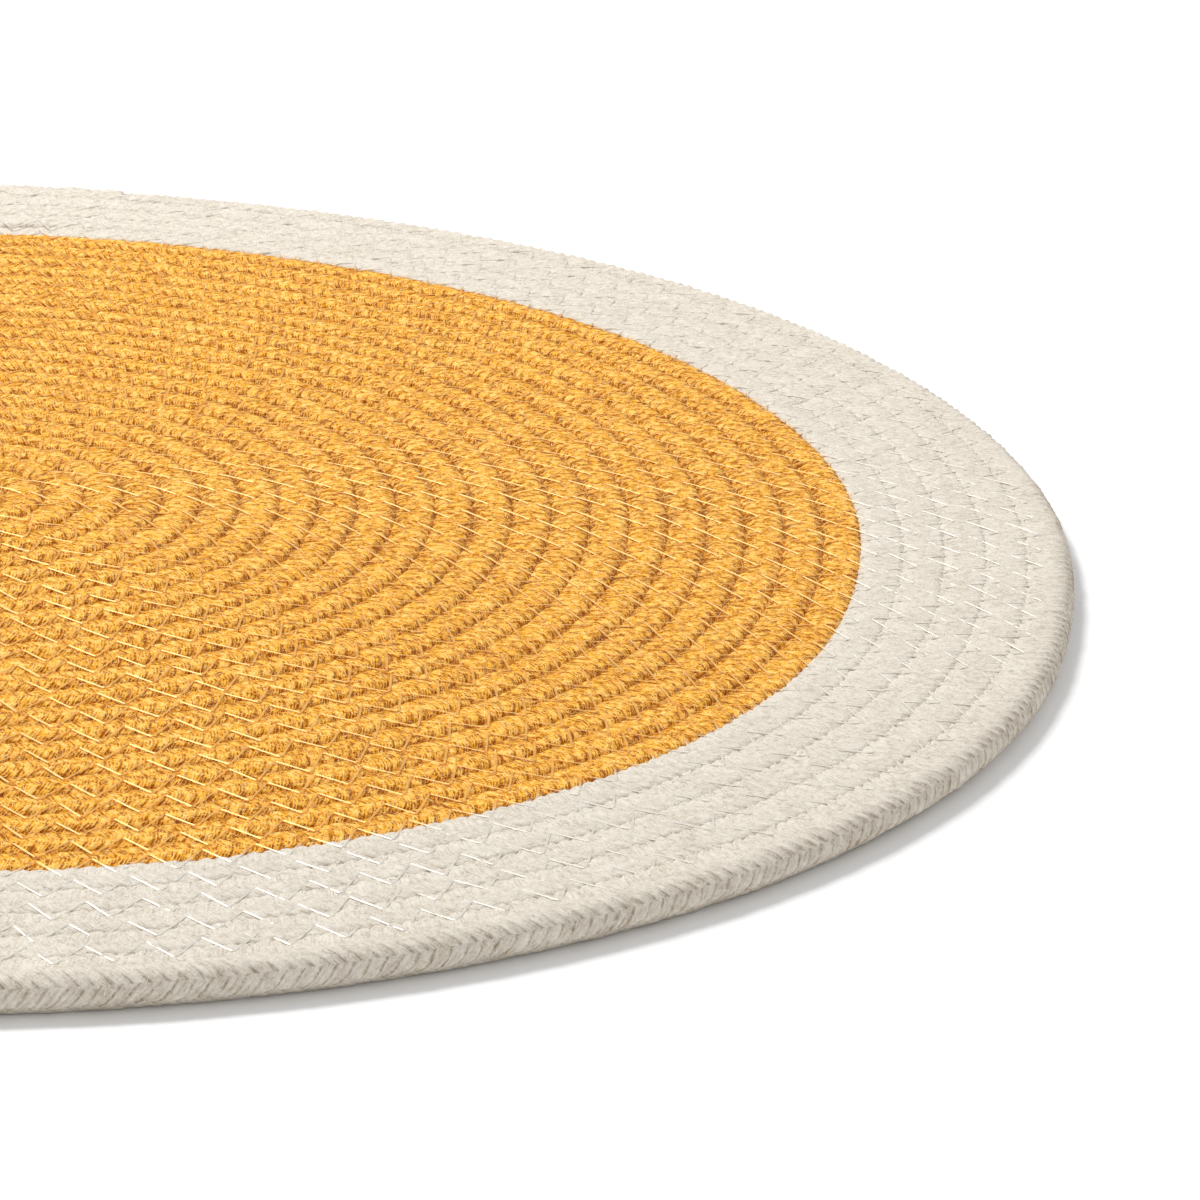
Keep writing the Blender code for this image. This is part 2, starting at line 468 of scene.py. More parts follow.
def section(name, places, outer_square, inner_square, slant):
    """A closed line round the rope, from places in ribs: 0.5 faces outwards and 2 is the top."""
    corners = []
    for place in places:
        angle = math.tau * (place - 0.5) / RIBS
        square = outer_square if math.cos(angle) > 0 else inner_square
        power = 2 / (square if math.sin(angle) >= 0 else UNDER_SQUARE)
        across = math.copysign(abs(math.cos(angle)) ** power, math.cos(angle))
        up = math.copysign(abs(math.sin(angle)) ** power, math.sin(angle))
        corners.append((across, up, 0.0))
    edges = [(i, (i + 1) % len(corners)) for i in range(len(corners))]
    mesh = bpy.data.meshes.new(name)
    mesh.from_pydata(corners, edges, [])
    slants = [slant * (1 - abs(place % 2 - 1)) for place in places]
    crests = [math.sin(math.pi * (place % 1)) for place in places]
    crests = [crest * (1 - 0.6 * max(0.0, corner[1])) for crest, corner in zip(crests, corners)]
    for label, values in (("around", places), ("slant", slants), ("crest", crests)):
        mesh.attributes.new(label, "FLOAT", "POINT").data.foreach_set("value", values)
    shape = mesh.attributes.new("shape", "FLOAT_VECTOR", "POINT")
    shape.data.foreach_set("vector", [c for corner in corners for c in corner])
    guide = bpy.data.objects.new(name, mesh)
    link(guide)
    return guide


# Three or four steps for each rib that shows, fewer for those underneath
inner_places = [0.5] + [1 + i / 3 for i in range(7)] + [3.5, 4.5, 5.5]
rim_places = [i / 4 for i in range(13)] + [3.5, 4.5, 5, 5.5]
# A square of 2 is a circle and a higher one is boxier. The slant is in metres along the rope
mustard_section = section("mustard_section", inner_places, 3.2, 3.2, slant=0.0020)
natural_section = section("natural_section", inner_places, 5.0, 5.0, slant=-0.0022)
rim_section = section("rim_section", rim_places, 2.3, 5.0, slant=-0.0028)
print("section corners", len(inner_places), "and", len(rim_places), "at the rim")

# %% [markdown]
# ## The tree that lays a rope
#
# A straight tube is made first, with one ring of corners for each row, and every corner knows its
# row. Then each corner is moved to its place: along the spiral by its row and its slant, across and
# up by the section. Because rows follow the slanted strands, a strand is simply three rows, or five
# on the rim: a groove and a crest. Near a needle hole the top sinks, as the thread pulls it down.
#
# The same rope could be a curve with a bevel, but then the strands would only be painted on.

# %% Rope tree
tree, given, rope_keys = new_tree(
    "lay_rope",
    Object=("Section",),
    Int=("First row", "Rows", "Rows a strand"),
    Float=(
        "Row step",
        "Strand relief",
        "Rib relief",
        "Pinch depth",
        "Pinch reach",
        "Unevenness",
        "Outer flank",
        "Inner flank",
    ),
    Material=("Material",),
)
path = add(tree, "GeometryNodeMeshToCurve", {0: given["Path"]})
length = add(tree, "GeometryNodeCurveLength", {0: path})

# The straight tube
rings = add(tree, MATH, {0: given["Rows"], 1: 1.0}, operation="ADD")
straight = add(tree, "GeometryNodeCurvePrimitiveLine", {"End": (1.0, 0.0, 0.0)})
straight = add(tree, "GeometryNodeResampleCurve", {"Curve": straight, "Count": rings}, mode="COUNT")
index = add(tree, "GeometryNodeInputIndex")
row = add(tree, MATH, {0: index, 1: given["First row"]}, operation="ADD")
straight = {"Geometry": straight, "Name": "row", "Value": row}
straight = add(tree, "GeometryNodeStoreNamedAttribute", straight)
outline = add(tree, "GeometryNodeObjectInfo", {0: given["Section"]}).outputs["Geometry"]
outline = add(tree, "GeometryNodeMeshToCurve", {0: outline})
tube = {"Curve": straight, "Profile Curve": outline, "Fill Caps": True}
tube = add(tree, "GeometryNodeCurveToMesh", tube)

# What each corner knows
labels = ("row", "slant", "crest", "around")
told = [add(tree, "GeometryNodeInputNamedAttribute", {"Name": label}) for label in labels]
row, slant, crest, around = told
shape = add(tree, "GeometryNodeInputNamedAttribute", {"Name": "shape"}, data_type="FLOAT_VECTOR")
shape = add(tree, "ShaderNodeSeparateXYZ", {0: shape})
across, up = shape.outputs["X"], shape.outputs["Y"]

# Along the spiral, with the slant fading out towards the rope's two ends
run = add(tree, MATH, {0: row, 1: given["Row step"]}, operation="MULTIPLY")
left = add(tree, MATH, {0: length, 1: run}, operation="SUBTRACT")
near = add(tree, MATH, {0: run, 1: left}, operation="MINIMUM")
ease = add(tree, "ShaderNodeMapRange", {0: near, 1: 0.0, 2: 0.012, 3: 0.0, 4: 1.0})
along = add(tree, MATH, {0: slant, 1: ease, 2: run}, operation="MULTIPLY_ADD")

# What the path says there
told = []
for label in ("seams", "sizes"):
    value = add(tree, "GeometryNodeInputNamedAttribute", {"Name": label}, data_type="FLOAT_VECTOR")
    value = {"Curves": path, "Value": value, "Length": along}
    value = add(tree, "GeometryNodeSampleCurve", value, mode="LENGTH", data_type="FLOAT_VECTOR")
    told.append(add(tree, "ShaderNodeSeparateXYZ", {0: value}))
middle, heading = value.outputs["Position"], value.outputs["Tangent"]
seams, sizes = told
half_width, share, low = sizes.outputs["X"], sizes.outputs["Y"], sizes.outputs["Z"]
outwards = add(tree, VECTOR_MATH, {0: (0.0, 0.0, 1.0), 1: heading}, operation="CROSS_PRODUCT")
outwards = add(tree, VECTOR_MATH, {0: outwards}, operation="NORMALIZE")

# Strands: a groove and a crest each, half a strand further on in every other rib
strand = add(tree, MATH, {0: row, 1: given["Rows a strand"]}, operation="DIVIDE")
parity = add(tree, MATH, {0: around}, operation="FLOOR")
parity = add(tree, MATH, {0: parity, 1: 1.0}, operation="PINGPONG")
ridge = add(tree, MATH, {0: parity, 1: 0.5, 2: strand}, operation="MULTIPLY_ADD")
seen = add(tree, "ShaderNodeMapRange", {0: up, 1: -0.95, 2: -0.4, 3: 0.0, 4: 1.0})
for operation, value in (
    ("PINGPONG", 0.5),
    ("MULTIPLY", math.pi),
    ("SINE", 0.0),
    ("SUBTRACT", 0.7),
    ("MULTIPLY", crest),
    ("MULTIPLY", seen),
    ("MULTIPLY", given["Strand relief"]),
):
    ridge = add(tree, MATH, {0: ridge, 1: value}, operation=operation)
rib = add(tree, MATH, {0: crest, 1: 0.8}, operation="SUBTRACT")
stand = add(tree, MATH, {0: rib, 1: given["Rib relief"], 2: ridge}, operation="MULTIPLY_ADD")

# Soft yarn is never even: a slow swell of each few strands
spot = add(tree, "ShaderNodeCombineXYZ", {0: run, 1: 0.0, 2: 0.0})
spot = add(tree, VECTOR_MATH, {0: spot, 1: (220.0, 0.0, 0.0)}, operation="MULTIPLY")
turned = add(tree, "ShaderNodeCombineXYZ", {0: 0.0, 1: across, 2: up})
spot = add(tree, VECTOR_MATH, {0: spot, 1: turned}, operation="ADD")
uneven = add(tree, "ShaderNodeTexNoise", {"Vector": spot, "Scale": 1.0, "Detail": 2.0})
for operation, value in (
    ("SUBTRACT", 0.5),
    ("MULTIPLY", given["Unevenness"]),
    ("ADD", stand),
    ("MULTIPLY", share),
):
    uneven = add(tree, MATH, {0: uneven, 1: value}, operation=operation)
stand = uneven

# The section at full size
wide = add(tree, MATH, {0: across, 1: half_width}, operation="MULTIPLY")
wide = add(tree, MATH, {0: across, 1: stand, 2: wide}, operation="MULTIPLY_ADD")
tall = add(tree, MATH, {0: low, 1: ROPE_HEIGHT / 2}, operation="MULTIPLY")
high = add(tree, MATH, {0: up, 1: tall, 2: tall}, operation="MULTIPLY_ADD")
high = add(tree, MATH, {0: up, 1: stand, 2: high}, operation="MULTIPLY_ADD")

# Pinches at the outer row of needle holes and at the inner one, whose holes come between the others
hole = add(tree, MATH, {0: half_width, 1: NEEDLE_REACH}, operation="SUBTRACT")
between = 0.5 - LEAN / ZIGZAG
pinches = []
for seam, side, offset in ((seams.outputs["X"], 1.0, 0.0), (seams.outputs["Y"], -1.0, between)):
    phase = add(tree, MATH, {0: seam, 1: offset}, operation="ADD")
    phase = add(tree, MATH, {0: phase, 1: 0.5}, operation="PINGPONG")
    apart = add(tree, MATH, {0: phase, 1: ZIGZAG}, operation="MULTIPLY")
    aside = add(tree, MATH, {0: hole, 1: -side, 2: wide}, operation="MULTIPLY_ADD")
    off = add(tree, "ShaderNodeCombineXYZ", {0: apart, 1: aside, 2: 0.0})
    off = add(tree, VECTOR_MATH, {0: off}, operation="LENGTH").outputs["Value"]
    reach = given["Pinch reach"]
    for operation, value in (("DIVIDE", reach), ("POWER", 2.0), ("MULTIPLY", -1.0), ("EXPONENT", 0.0)):
        off = add(tree, MATH, {0: off, 1: value}, operation=operation)
    pinches.append(off)
pinch = add(tree, MATH, {0: pinches[0], 1: pinches[1]}, operation="ADD")
face = add(tree, MATH, {0: up, 1: 3.0}, operation="MULTIPLY")
face = add(tree, "ShaderNodeClamp", {0: face, 1: -1.0, 2: 1.0})
sink = add(tree, MATH, {0: pinch, 1: face}, operation="MULTIPLY")
sink = add(tree, MATH, {0: sink, 1: given["Pinch depth"]}, operation="MULTIPLY")
high = add(tree, MATH, {0: high, 1: sink}, operation="SUBTRACT")
high = add(tree, MATH, {0: high, 1: 0.00003}, operation="MAXIMUM")

# Into place
shift = add(tree, VECTOR_MATH, {0: outwards, 3: wide}, operation="SCALE")
lift = add(tree, "ShaderNodeCombineXYZ", {0: 0.0, 1: 0.0, 2: high})
target = add(tree, VECTOR_MATH, {0: middle, 1: shift}, operation="ADD")
target = add(tree, VECTOR_MATH, {0: target, 1: lift}, operation="ADD")
rope = add(tree, "GeometryNodeSetPosition", {"Geometry": tube, "Position": target})
# Flank tells the finish where to put painted shade on the sides; it is weaker on the natural rope
flank = add(tree, MATH, {0: across, 1: given["Outer flank"]}, operation="MULTIPLY")
inner = add(tree, MATH, {0: across, 1: given["Inner flank"]}, operation="MULTIPLY")
inner = add(tree, MATH, {0: inner, 1: -1.0}, operation="MULTIPLY")
flank = add(tree, MATH, {0: flank, 1: inner}, operation="MAXIMUM")
for label, value in (("strand", strand), ("flank", flank), ("pinch", pinch)):
    rope = {"Geometry": rope, "Name": label, "Value": value}
    rope = add(tree, "GeometryNodeStoreNamedAttribute", rope)
rope = add(tree, "GeometryNodeSetShadeSmooth", {"Geometry": rope})
rope = add(tree, "GeometryNodeRealizeInstances", {"Geometry": rope})
rope = add(tree, "GeometryNodeSetMaterial", {"Geometry": rope, "Material": given["Material"]})
add(tree, "NodeGroupOutput", {0: rope})
rope_tree = tree
print("rope tree", len(tree.nodes), "nodes")

# %% [markdown]
# ## Laying the ropes
#
# Where the colours meet, the mustard tail and the natural tip lie side by side and thin out against
# each other, and the natural rope's end at the rim thins out too, so that nothing sticks out. Each
# path carries the rope's half width, its share of full size and its place along both seams. One mesh
# could hold a whole rope, but one of thousands of rows is too heavy to handle. So a rope is kept as a
# few lengths, and the rows run on from one length to the next without a step.

# %% Paths
MUSTARD_PRESSED = 0.00060  # how far neighbours sink into each other
NATURAL_PRESSED = 0.00085


def rope_path(name, first, last, shares, thin_sides, pressed):
    """The rope's middle line as a mesh of edges with the numbers that the tree reads."""
    turns = turn_values(first, last)
    turns = sorted(set(turns) | {turn for turn, _ in shares})
    points, sizes, seams = [], [], []
    for turn in turns:
        share = share_at(turn, shares)
        thin_side = thin_sides[0] if turn < (first + last) / 2 else thin_sides[1]
        lane = pitch_at(turn)
        radius = even_radius(turn) + thin_side * (1 - share) * lane / 2
        points.append(spiral_point(turn, radius) + CENTRE)
        sizes.extend((lane / 2 * share + pressed, share, math.sqrt(share)))
        seams.extend((zigzags_before(turn, 0.5), zigzags_before(turn - 1, 0.0), 0.0))
    mesh = bpy.data.meshes.new(name)
    mesh.from_pydata(points, [(i, i + 1) for i in range(len(points) - 1)], [])
    mesh.attributes.new("sizes", "FLOAT_VECTOR", "POINT").data.foreach_set("vector", sizes)
    mesh.attributes.new("seams", "FLOAT_VECTOR", "POINT").data.foreach_set("vector", seams)
    return mesh, sum((b - a).length for a, b in zip(points, points[1:]))


mustard_path = rope_path(
    "mustard_path", MUSTARD_START, MUSTARD_END, MUSTARD_SHARES, (0, -1), MUSTARD_PRESSED
)
natural_path = rope_path(
    "natural_path", NATURAL_START, NATURAL_END, NATURAL_SHARES, (1, -1), NATURAL_PRESSED
)
print("mustard rope", round(mustard_path[1], 2), "m, natural rope", round(natural_path[1], 2), "m")

# %% Ropes
STRAND = 0.0024  # from one strand of a rib to the next, along the rope


def lay_ropes(name, path, cuts, rows_a_strand, look):
    """Lengths of one rope between cuts, which are shares of its whole length."""
    guide, total = path
    rows = round(total / STRAND) * rows_a_strand
    marks = [round(rows * cut / rows_a_strand) * rows_a_strand for cut in cuts]
    pieces = []
    for number, (first, last) in enumerate(zip(marks, marks[1:]), 1):
        choices = {
            "First row": first,
            "Rows": last - first,
            "Rows a strand": rows_a_strand,
            "Row step": total / rows,
            "Rib relief": 0.00025,
            "Pinch reach": 0.00120,
            "Unevenness": 0.00060,
            **look,
        }
        piece = grow(f"{name}_{number}", guide.copy(), rope_tree, rope_keys, choices)
        pieces.append(piece)
    return pieces


LOOK = ("Section", "Material", "Strand relief", "Pinch depth", "Outer flank", "Inner flank")
mustard_look = dict(zip(LOOK, (mustard_section, mustard_cotton, 0.0008, 0.0005, 1.0, 1.0)))
natural_look = dict(zip(LOOK, (natural_section, natural_cotton, 0.0006, 0.0002, 0.6, 0.6)))
rim_look = dict(zip(LOOK, (rim_section, natural_cotton, 0.0008, 0.0002, 1.0, 0.6)))
last_turn = 1 - math.tau * even_radius(NATURAL_END - 0.5) / natural_path[1]
mustard_ropes = lay_ropes("mustard_rope", mustard_path, (0, 0.16, 0.58, 1), 3, mustard_look)
natural_ropes = lay_ropes("natural_rope", natural_path, (0, last_turn), 3, natural_look)
natural_ropes += lay_ropes("natural_rim", natural_path, (last_turn, 1), 5, rim_look)

# %% [markdown]
# ## The seam
#
# The tree for the thread works like the rope's: a straight thread first, then bent. Its points
# swing from side to side of the valley and dive at each needle hole. A seeded jitter moves each
# hole, because the mat is fed by hand. The bobbin thread does the same underneath. One leg copied
# along the seam would be simpler, but then each leg would end in mid air where the spiral bends.

# %% Thread tree
tree, given, thread_keys = new_tree(
    "sew_zigzag",
    Int=("First hole", "Holes", "Steps a leg", "Sides", "Seed"),
    Float=(
        "Hole step",
        "Reach",
        "Lean",
        "Thread radius",
        "Hole height",
        "Span height",
        "Jitter",
        "Over inwards",
        "Over outwards",
    ),
    Material=("Material",),
)
path = add(tree, "GeometryNodeMeshToCurve", {0: given["Path"]})
steps = add(tree, MATH, {0: given["Holes"], 1: given["Steps a leg"]}, operation="MULTIPLY")
count = add(tree, MATH, {0: steps, 1: 1.0}, operation="ADD")
thread = add(tree, "GeometryNodeCurvePrimitiveLine", {"End": (1.0, 0.0, 0.0)})
thread = add(tree, "GeometryNodeResampleCurve", {"Curve": thread, "Count": count}, mode="COUNT")

# Which leg a point is on, and how far along it
index = add(tree, "GeometryNodeInputIndex")
leg = add(tree, MATH, {0: index, 1: given["Steps a leg"]}, operation="DIVIDE")
number = add(tree, MATH, {0: leg, 1: 0.001}, operation="ADD")
number = add(tree, MATH, {0: number}, operation="FLOOR")
part = add(tree, MATH, {0: leg, 1: number}, operation="SUBTRACT")
part = add(tree, MATH, {0: part, 1: 0.0}, operation="MAXIMUM")
number = add(tree, MATH, {0: number, 1: given["First hole"]}, operation="ADD")

# The first and last points of a leg crowd towards the holes, where the thread bends sharply
crowd = add(tree, MATH, {0: part, 1: 0.5}, operation="SUBTRACT")
crowd = add(tree, MATH, {0: crowd, 1: 1.52, 2: 0.5}, operation="MULTIPLY_ADD")
crowd = add(tree, "ShaderNodeClamp", {0: crowd})
lone = add(tree, MATH, {0: part, 1: 0.5, 2: 0.499}, operation="COMPARE")
part = add(tree, "ShaderNodeMix", {0: lone, 2: part, 3: crowd})

# Each hole's own jitter, shared by the legs on both sides of it
after = add(tree, MATH, {0: number, 1: 1.0}, operation="ADD")
drifts = []
for extra in (0, 7):
    seed = add(tree, MATH, {0: given["Seed"], 1: extra}, operation="ADD")
    ends = []
    for hole in (number, after):
        draw = add(tree, "FunctionNodeRandomValue", {2: -1.0, 3: 1.0, "ID": hole, "Seed": seed})
        ends.append(draw.outputs[1])
    drift = add(tree, "ShaderNodeMix", {0: part, 2: ends[0], 3: ends[1]})
    drifts.append(add(tree, MATH, {0: drift, 1: given["Jitter"]}, operation="MULTIPLY"))

holes = add(tree, MATH, {0: number, 1: part}, operation="ADD")
along = {0: holes, 1: given["Hole step"], 2: drifts[0]}
along = add(tree, MATH, along, operation="MULTIPLY_ADD")
swing = add(tree, MATH, {0: holes, 1: 1.0}, operation="PINGPONG")
along = add(tree, MATH, {0: swing, 1: given["Lean"], 2: along}, operation="MULTIPLY_ADD")
swing = add(tree, MATH, {0: swing, 1: 2.0, 2: -1.0}, operation="MULTIPLY_ADD")
swing = add(tree, MATH, {0: swing, 1: given["Reach"], 2: drifts[1]}, operation="MULTIPLY_ADD")
# The rim's thin end leaves less room outwards
room = add(tree, "GeometryNodeInputNamedAttribute", {"Name": "room"})
room = {"Curves": path, "Value": room, "Length": along}
room = add(tree, "GeometryNodeSampleCurve", room, mode="LENGTH")
inward = add(tree, MATH, {0: swing, 1: 0.0}, operation="MINIMUM")
swing = add(tree, MATH, {0: swing, 1: 0.0}, operation="MAXIMUM")
swing = add(tree, MATH, {0: swing, 1: room, 2: inward}, operation="MULTIPLY_ADD")
# Down in the hole at both ends of a leg, taut in between
ends = add(tree, MATH, {0: part, 1: 0.5}, operation="PINGPONG")
bow = add(tree, "ShaderNodeMapRange", {0: ends, 1: 0.0, 2: 0.04, 3: 0.0, 4: 1.0})
rise = add(tree, MATH, {0: given["Span height"], 1: given["Hole height"]}, operation="SUBTRACT")
high = add(tree, MATH, {0: bow, 1: rise, 2: given["Hole height"]}, operation="MULTIPLY_ADD")

spot = add(tree, "GeometryNodeSampleCurve", {"Curves": path, "Length": along}, mode="LENGTH")
outwards = {0: (0.0, 0.0, 1.0), 1: spot.outputs["Tangent"]}
outwards = add(tree, VECTOR_MATH, outwards, operation="CROSS_PRODUCT")
shift = add(tree, VECTOR_MATH, {0: outwards, 3: swing}, operation="SCALE")
lift = add(tree, "ShaderNodeCombineXYZ", {0: 0.0, 1: 0.0, 2: high})
target = add(tree, VECTOR_MATH, {0: spot.outputs["Position"], 1: shift}, operation="ADD")
target = add(tree, VECTOR_MATH, {0: target, 1: lift}, operation="ADD")
thread = add(tree, "GeometryNodeSetPosition", {"Geometry": thread, "Position": target})
# Numbers for its finish: millimetres along it, which rope is under it, and which way it heads
millimetres = add(tree, MATH, {0: along, 1: 1000.0}, operation="MULTIPLY")
over = add(tree, "ShaderNodeMapRange", {0: swing, 1: -0.0002, 2: 0.0002})
over = add(tree, "ShaderNodeMix", {0: over, 2: given["Over inwards"], 3: given["Over outwards"]})
for label, value in (("along", millimetres), ("over", over)):
    thread = {"Geometry": thread, "Name": label, "Value": value}
    thread = add(tree, "GeometryNodeStoreNamedAttribute", thread)
# A leg heads along the seam and across it, outwards on even legs and inwards on odd ones
odd = add(tree, MATH, {0: number, 1: 1.0}, operation="PINGPONG")
side = add(tree, MATH, {0: odd, 1: -2.0, 2: 1.0}, operation="MULTIPLY_ADD")
ahead = {0: given["Lean"], 1: side, 2: given["Hole step"]}
ahead = add(tree, MATH, ahead, operation="MULTIPLY_ADD")
aside = add(tree, MATH, {0: given["Reach"], 1: 2.0}, operation="MULTIPLY")
aside = add(tree, MATH, {0: aside, 1: side}, operation="MULTIPLY")
ahead = add(tree, VECTOR_MATH, {0: spot.outputs["Tangent"], 3: ahead}, operation="SCALE")
aside = add(tree, VECTOR_MATH, {0: outwards, 3: aside}, operation="SCALE")
heading = add(tree, VECTOR_MATH, {0: ahead, 1: aside}, operation="ADD")
thread = {"Geometry": thread, "Name": "heading", "Value": heading}
thread = add(tree, "GeometryNodeStoreNamedAttribute", thread, data_type="FLOAT_VECTOR")
# The section is a flat triangle with its broad side up, pressed down by the tension
thread = add(tree, "GeometryNodeSetCurveNormal", {"Curve": thread}, mode="Z_UP")
ring = {"Resolution": given["Sides"], "Radius": given["Thread radius"]}
ring = add(tree, "GeometryNodeCurvePrimitiveCircle", ring)
ring = {"Geometry": ring, "Rotation": (0.0, 0.0, math.pi / 2), "Scale": (0.2, 1.0, 1.0)}
ring = add(tree, "GeometryNodeTransform", ring)
thread = {"Curve": thread, "Profile Curve": ring, "Fill Caps": True}
thread = add(tree, "GeometryNodeCurveToMesh", thread)
thread = add(tree, "GeometryNodeSetShadeSmooth", {"Geometry": thread, "Shade Smooth": False})
thread = add(tree, "GeometryNodeRealizeInstances", {"Geometry": thread})
thread = add(tree, "GeometryNodeSetMaterial", {"Geometry": thread, "Material": given["Material"]})
add(tree, "NodeGroupOutput", {0: thread})
thread_tree = tree
print("thread tree", len(tree.nodes), "nodes")

# %% Seams
valley_line = bpy.data.meshes.new("valley_line")
valley_line.from_pydata(VALLEY, [(i, i + 1) for i in range(len(VALLEY) - 1)], [])
rooms = [share_at(turn + 1, NATURAL_SHARES) for turn in VALLEY_TURNS]
rooms = [room if turn > 3 else 1.0 for turn, room in zip(VALLEY_TURNS, rooms)]
valley_line.attributes.new("room", "FLOAT", "POINT").data.foreach_set("value", rooms)
last_hole = int(VALLEY_SUM[-1] / ZIGZAG * 2) - 1
# Where the rope outside the seam turns natural, and where the rope inside it does
tail_hole = int(zigzags_before(-1.0 - 3 / STATIONS, 0.0) * 2)
colour_hole = int(zigzags_before(-5 / STATIONS, 0.0) * 2)
seams = []
for label, first, last, over_inwards, over_outwards in (
    ("mustard", 1, tail_hole, 0.0, 0.0),
    ("border", tail_hole, colour_hole, 0.0, 1.0),
    ("natural", colour_hole, last_hole, 1.0, 1.0),
):
    for face, steps, sides, hole_height, span_height in (
        ("top", 5, 3, 0.0046, 0.00580),
        ("under", 2, 3, 0.0012, 0.00022),
    ):
        choices = {
            "First hole": first,
            "Holes": last - first,
            "Steps a leg": steps,
            "Sides": sides,
            "Hole step": ZIGZAG / 2,
            "Reach": NEEDLE_REACH,
            "Lean": LEAN,
            "Thread radius": 0.00022,
            "Hole height": hole_height,
            "Span height": span_height,
            "Jitter": 0.00030,
            "Over inwards": over_inwards,
            "Over outwards": over_outwards,
            "Seed": 11,
            "Material": nylon,
        }
        piece = grow(f"{label}_seam_{face}", valley_line.copy(), thread_tree, thread_keys, choices)
        seams.append(piece)

# %% [markdown]
# ## Loose fibres
#
# Soft-spun yarn lets go of short fibre ends, which curl up from it and catch the light. Each one here
# is a single thin triangle, 0.12 mm wide and 1 to 3 mm long, scattered over the upper side of the
# ropes and tipped up a little. Particles could do this too, but they don't export. A real fibre is
# far thinner, and 0.12 mm is the thinnest that still shows.

# %% Fibre tree
tree, given, fibre_keys = new_tree(
    "scatter_fibres",
    Float=("Fibres a square metre", "Length", "Thickness"),
    Int=("Seed",),
    Material=("Material",),
)
normal = add(tree, "GeometryNodeInputNormal")
normal = add(tree, "ShaderNodeSeparateXYZ", {0: normal})
upper = {0: normal.outputs["Z"], 1: 0.10}
upper = add(tree, "FunctionNodeCompare", upper, operation="GREATER_THAN")
spots = {
    "Mesh": given["Path"],
    "Selection": upper,
    "Density": given["Fibres a square metre"],
    "Seed": given["Seed"],
}
spots = add(tree, "GeometryNodeDistributePointsOnFaces", spots)
blade = add(tree, "GeometryNodeMeshCircle", {"Vertices": 3, "Radius": 1.0}, fill_type="NGON")
# Tipped up by up to 20 degrees and turned any way
pose = {0: (0.0, -0.35, 0.0), 1: (0.0, 0.02, math.tau), "Seed": given["Seed"]}
pose = add(tree, "FunctionNodeRandomValue", pose, data_type="FLOAT_VECTOR")
pose = add(tree, "FunctionNodeEulerToRotation", {0: pose})
pose = {"Rotation": spots.outputs["Rotation"], "Rotate By": pose}
pose = add(tree, "FunctionNodeRotateRotation", pose, rotation_space="LOCAL")
stretch = add(tree, "FunctionNodeRandomValue", {2: 0.4, 3: 1.0, "Seed": given["Seed"]})
long = add(tree, MATH, {0: stretch.outputs[1], 1: given["Length"]}, operation="MULTIPLY")
long = add(tree, MATH, {0: long, 1: 1.5}, operation="DIVIDE")
thick = add(tree, MATH, {0: given["Thickness"], 1: math.sqrt(3)}, operation="DIVIDE")
size = add(tree, "ShaderNodeCombineXYZ", {0: long, 1: thick, 2: 1.0})
fibres = {"Points": spots, "Instance": blade, "Rotation": pose, "Scale": size}
fibres = add(tree, "GeometryNodeInstanceOnPoints", fibres)
fibres = add(tree, "GeometryNodeRealizeInstances", {"Geometry": fibres})
fibres = add(tree, "GeometryNodeSetMaterial", {"Geometry": fibres, "Material": given["Material"]})
add(tree, "NodeGroupOutput", {0: fibres})
print("fibre tree", len(tree.nodes), "nodes")

# %% Fibres


def cotton_fibres(name, dark, light):
    """Single cotton fibres: dull, and paler than the yarn because light shines through them."""
    finish = {"Roughness": 0.9, "Specular IOR Level": 0.2, "Sheen Weight": 0.3}
    material, nodes, shader = new_material(name, finish)
    place = add(nodes, "ShaderNodeTexCoord").outputs["Object"]
    # Each fibre has its own shade: patches about as small as a fibre is long
    shade = add(nodes, "ShaderNodeTexNoise", {"Vector": place, "Scale": 900.0, "Detail": 1.0})
    ramp = add(nodes, "ShaderNodeValToRGB", {"Fac": shade})
    for stop, position, colour in zip(ramp.color_ramp.elements, (0.35, 0.60), (dark, light)):
        stop.position = position
        stop.color = linear(colour)
    nodes.links.new(ramp.outputs["Color"], shader.inputs["Base Color"])
    return material


mustard_fibres = cotton_fibres("loose_mustard_cotton_fibres", "#F4B046", "#FFDF98")
natural_fibres = cotton_fibres("loose_natural_cotton_fibres", "#CFC8BA", "#E8E2D8")
fibres = []
for number, rope in enumerate(mustard_ropes + natural_ropes, 1):
    is_mustard = rope in mustard_ropes
    choices = {
        "Fibres a square metre": 1750000.0 if is_mustard else 900000.0,
        "Length": 0.0030,
        "Thickness": 0.00012,
        "Seed": number,
        "Material": mustard_fibres if is_mustard else natural_fibres,
    }
    fibres.append(grow(rope.name + "_fibres", rope.data.copy(), tree, fibre_keys, choices))

# %% [markdown]
# ## Clear away the guides
#
# The sections shaped the ropes and are no part of the mat. They could be hidden, but a scene with
# nothing to spare is easier to read.

# %% Clear away
for guide in (mustard_section, natural_section, rim_section):
    bpy.data.objects.remove(guide)
print("pieces", len(mustard_ropes + natural_ropes + seams + fibres))

# %% [markdown]
# ## Floor, light and camera
#
# The mat lies on a bright paper floor that runs out of the picture. A broad soft lamp stands behind
# it on the left, so each turn is bright on top and shaded towards the viewer, and the rim throws a
# short soft shadow to the front right. A curved backdrop would do too, but no horizon shows here.

# %% Floor
floor_mesh = bpy.data.meshes.new("paper_floor")
floor_mesh.from_pydata([(-3, -3, 0), (3, -3, 0), (3, 5, 0), (-3, 5, 0)], [], [(0, 1, 2, 3)])
floor = bpy.data.objects.new("paper_floor", floor_mesh)
link(floor)
finish = {"Base Color": linear("#F4F4F4"), "Roughness": 0.9, "Specular IOR Level": 0.1}
paper, _, _ = new_material("matt_white_paper", finish)
floor_mesh.materials.append(paper)
print("floor", floor.name, "in", paper.name)

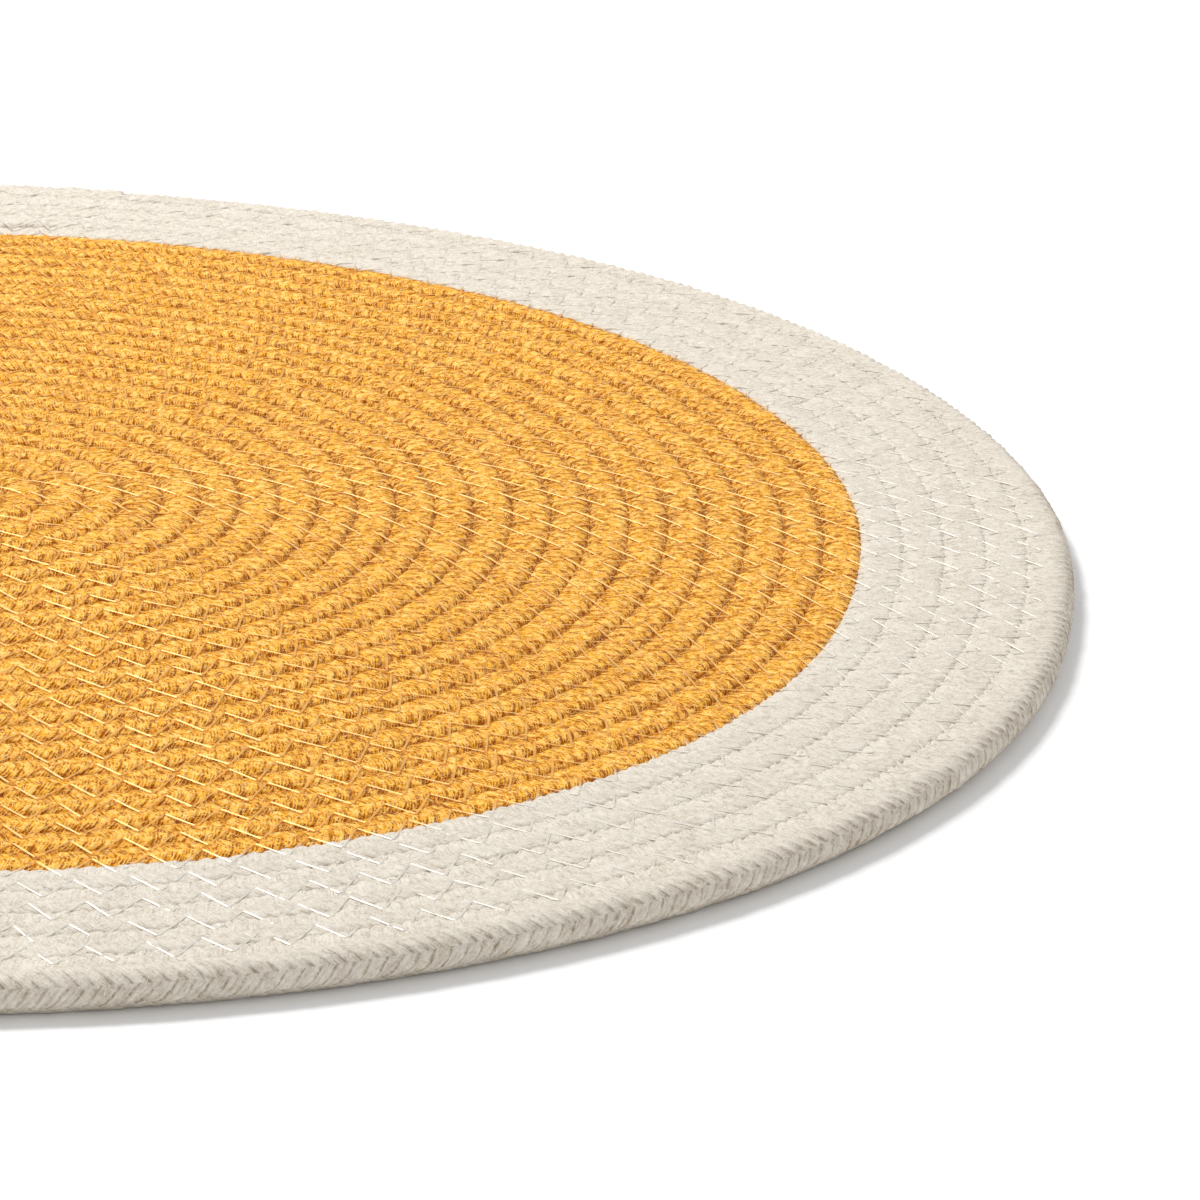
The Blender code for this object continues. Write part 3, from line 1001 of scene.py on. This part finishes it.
# %% Light
world = bpy.data.worlds.new("soft_studio")
world.use_nodes = True
sky = world.node_tree.nodes["Background"]
sky.inputs["Color"].default_value = (1.0, 1.0, 1.0, 1.0)
sky.inputs["Strength"].default_value = 0.60
bpy.context.scene.world = world
bpy.context.scene.view_settings.view_transform = "Standard"


def soft_lamp(name, spot, aim, size, power):
    """A square lamp that shines from a spot towards an aim."""
    light = bpy.data.lights.new(name, "AREA")
    light.size = size
    light.energy = power
    lamp = bpy.data.objects.new(name, light)
    turn = (Vector(aim) - Vector(spot)).to_track_quat("-Z", "Y").to_matrix().to_4x4()
    lamp.matrix_world = Matrix.Translation(spot) @ turn
    link(lamp)
    return lamp


AIM = (0.05, 0.0, 0.0)
key = soft_lamp("key_lamp", (-0.60, 0.48, 1.15), AIM, size=0.45, power=18.5)
fill = soft_lamp("fill_lamp", (0.5, -1.6, 0.9), AIM, size=1.2, power=4.5)
print("lamps", key.name, fill.name)

# %% [markdown]
# The camera stands in front, a little to the right, and looks down about 21 degrees. It is rolled
# three degrees, and it sees only the right-hand half of the mat. It could be aimed by a constraint,
# but three directions at right angles say plainly which way it is turned.

# %% Camera
FIT_CENTRE = CENTRE + Vector((0.0, -0.00135, 0.0))  # middle of the rim that the camera was fitted to
CAMERA_PLACE = FIT_CENTRE + Vector((0.1102, -0.7386, 0.2731))
PITCH = math.radians(20.783)
ROLL = math.radians(3.150)
ahead = Vector((0.0, math.cos(PITCH), -math.sin(PITCH)))
level = Vector((1.0, 0.0, 0.0))
upright = Vector((0.0, math.sin(PITCH), math.cos(PITCH)))
right = level * math.cos(ROLL) + upright * math.sin(ROLL)
top = upright * math.cos(ROLL) - level * math.sin(ROLL)
camera_data = bpy.data.cameras.new("camera")
camera_data.sensor_width = 36.0
camera_data.lens = 139.35
camera_data.clip_start = 0.01
camera = bpy.data.objects.new("camera", camera_data)
turned = Matrix((right, top, -ahead)).transposed().to_4x4()
camera.matrix_world = Matrix.Translation(CAMERA_PLACE) @ turned
link(camera)
bpy.context.scene.camera = camera
print("camera at", [round(c, 3) for c in camera.location])

# %% [markdown]
# ## What belongs to what
#
# The ropes stand for the two imported solids, which are hidden. All pieces, ropes, seams and fibres,
# go with the root body. No rope is a free cord, because each is sewn down along its whole length.

for piece in mustard_ropes + fibres[: len(mustard_ropes)]:
    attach(piece, "root")
for piece in natural_ropes + fibres[len(mustard_ropes) :]:
    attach(piece, "root")
for piece in seams:
    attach(piece, "root")
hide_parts("centre_coil")
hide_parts("border_coil")
